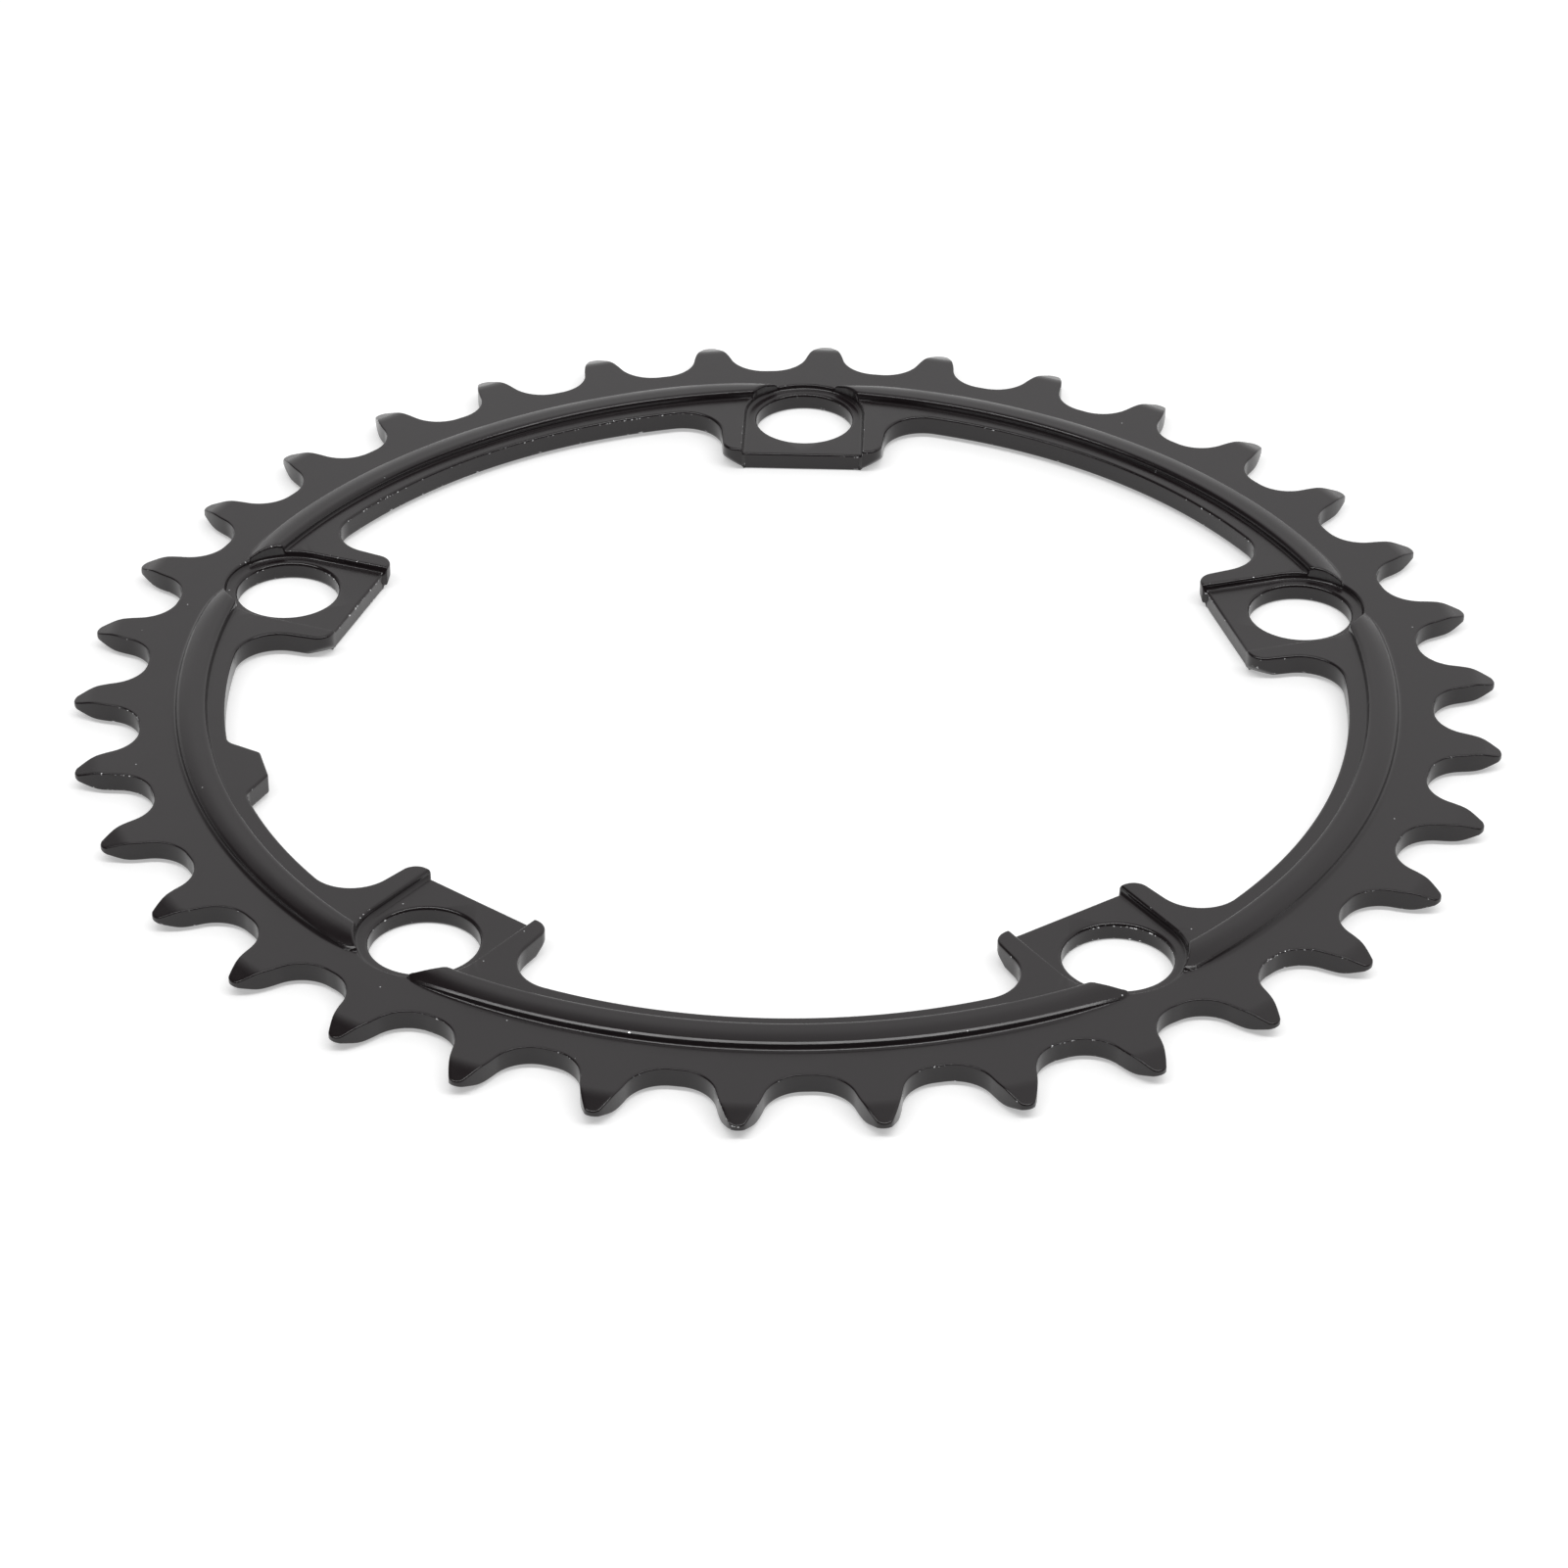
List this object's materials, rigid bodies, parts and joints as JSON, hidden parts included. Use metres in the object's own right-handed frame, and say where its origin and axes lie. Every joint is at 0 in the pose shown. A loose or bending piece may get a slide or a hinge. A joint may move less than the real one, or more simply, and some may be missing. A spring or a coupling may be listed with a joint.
{
  "type": "bicycle chainring",
  "caption": "Flat inner bicycle chainring with bevelled teeth, a raised rib, bolt tabs with sunk seats and a small key tab, in satin black alloy.",
  "frame": {"origin": "on the ring's axis, level with the backs of the bolt pads that it lies on", "axes": "+Z along the axis, out of the ribbed front; one bolt hole is on +X and the key tab on -X"},
  "size_m": [0.1426, 0.1428, 0.0034],
  "materials": {
    "black_alloy": "satin black anodised, with worn edges"
  },
  "bodies": {
    "root": {"chainring": "black_alloy"}
  },
  "joints": []
}
